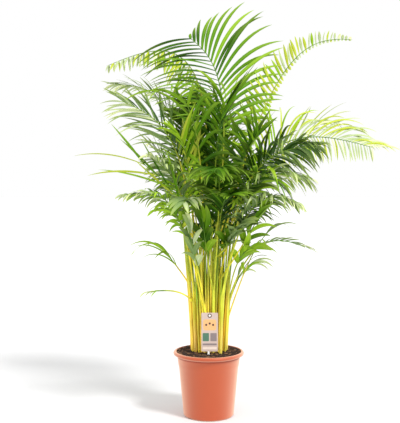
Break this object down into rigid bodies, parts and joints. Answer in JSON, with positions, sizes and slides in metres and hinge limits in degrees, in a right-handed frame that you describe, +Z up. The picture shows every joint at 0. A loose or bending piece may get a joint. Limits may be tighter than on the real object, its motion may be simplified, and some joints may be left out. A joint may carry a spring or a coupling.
{
  "type": "potted areca palm",
  "caption": "Areca palm in a round nursery pot: thin canes, arching feather fronds with narrow leaflets, soil and a plain plant label.",
  "frame": {"origin": "middle of the pot's flat underside", "axes": "+Z up through the middle of the pot, -Y towards the front that shows the label"},
  "size_m": [0.9708, 0.6271, 1.2298],
  "materials": {
    "pot_plastic": "terracotta-coloured moulded plastic, satin",
    "potting_soil": "dark moist potting soil, rough",
    "label_card": null,
    "cane_skin": "smooth yellow-green skin with leaf scars",
    "leaf_dark": "dark green leaf, satin",
    "leaf_mid": "mid green leaf, satin",
    "leaf_lime": "light yellow-green leaf, satin",
    "leaf_pale": "pale green leaf, satin"
  },
  "bodies": {
    "root": {"pot": "pot_plastic", "soil": "potting_soil", "label": "label_card", "cane_01": "cane_skin", "cane_02": "cane_skin", "cane_03": "cane_skin", "cane_04": "cane_skin", "cane_05": "cane_skin", "cane_06": "cane_skin", "cane_07": "cane_skin", "cane_08": "cane_skin", "cane_09": "cane_skin", "cane_10": "cane_skin", "cane_11": "cane_skin", "cane_12": "cane_skin", "cane_13": "cane_skin", "cane_14": "cane_skin", "cane_15": "cane_skin", "cane_16": "cane_skin", "frond_01": "leaf_mid", "frond_02": "leaf_lime", "frond_03": "leaf_lime", "frond_04": "leaf_pale", "frond_05": "leaf_mid", "frond_06": "leaf_dark", "frond_07": "leaf_lime", "frond_08": "leaf_dark", "frond_09": "leaf_mid", "frond_10": "leaf_mid", "frond_11": "leaf_dark", "frond_12": "leaf_dark", "frond_13": "leaf_mid", "frond_14": "leaf_pale", "frond_15": "leaf_lime", "frond_16": "leaf_lime", "frond_17": "leaf_lime", "frond_18": "leaf_lime", "frond_19": "leaf_dark", "frond_20": "leaf_lime", "frond_21": "leaf_pale", "frond_22": "leaf_dark", "frond_23": "leaf_lime", "frond_24": "leaf_pale", "frond_25": "leaf_pale", "frond_26": "leaf_mid", "frond_27": "leaf_mid", "frond_28": "leaf_dark", "frond_29": "leaf_lime", "frond_30": "leaf_pale", "frond_31": "leaf_pale", "frond_32": "leaf_lime", "frond_33": "leaf_dark", "frond_34": "leaf_lime", "frond_35": "leaf_lime", "frond_36": "leaf_mid", "frond_37": "leaf_dark", "frond_38": "leaf_dark", "frond_39": "leaf_mid", "frond_40": "leaf_dark", "frond_41": "leaf_dark"}
  },
  "joints": []
}
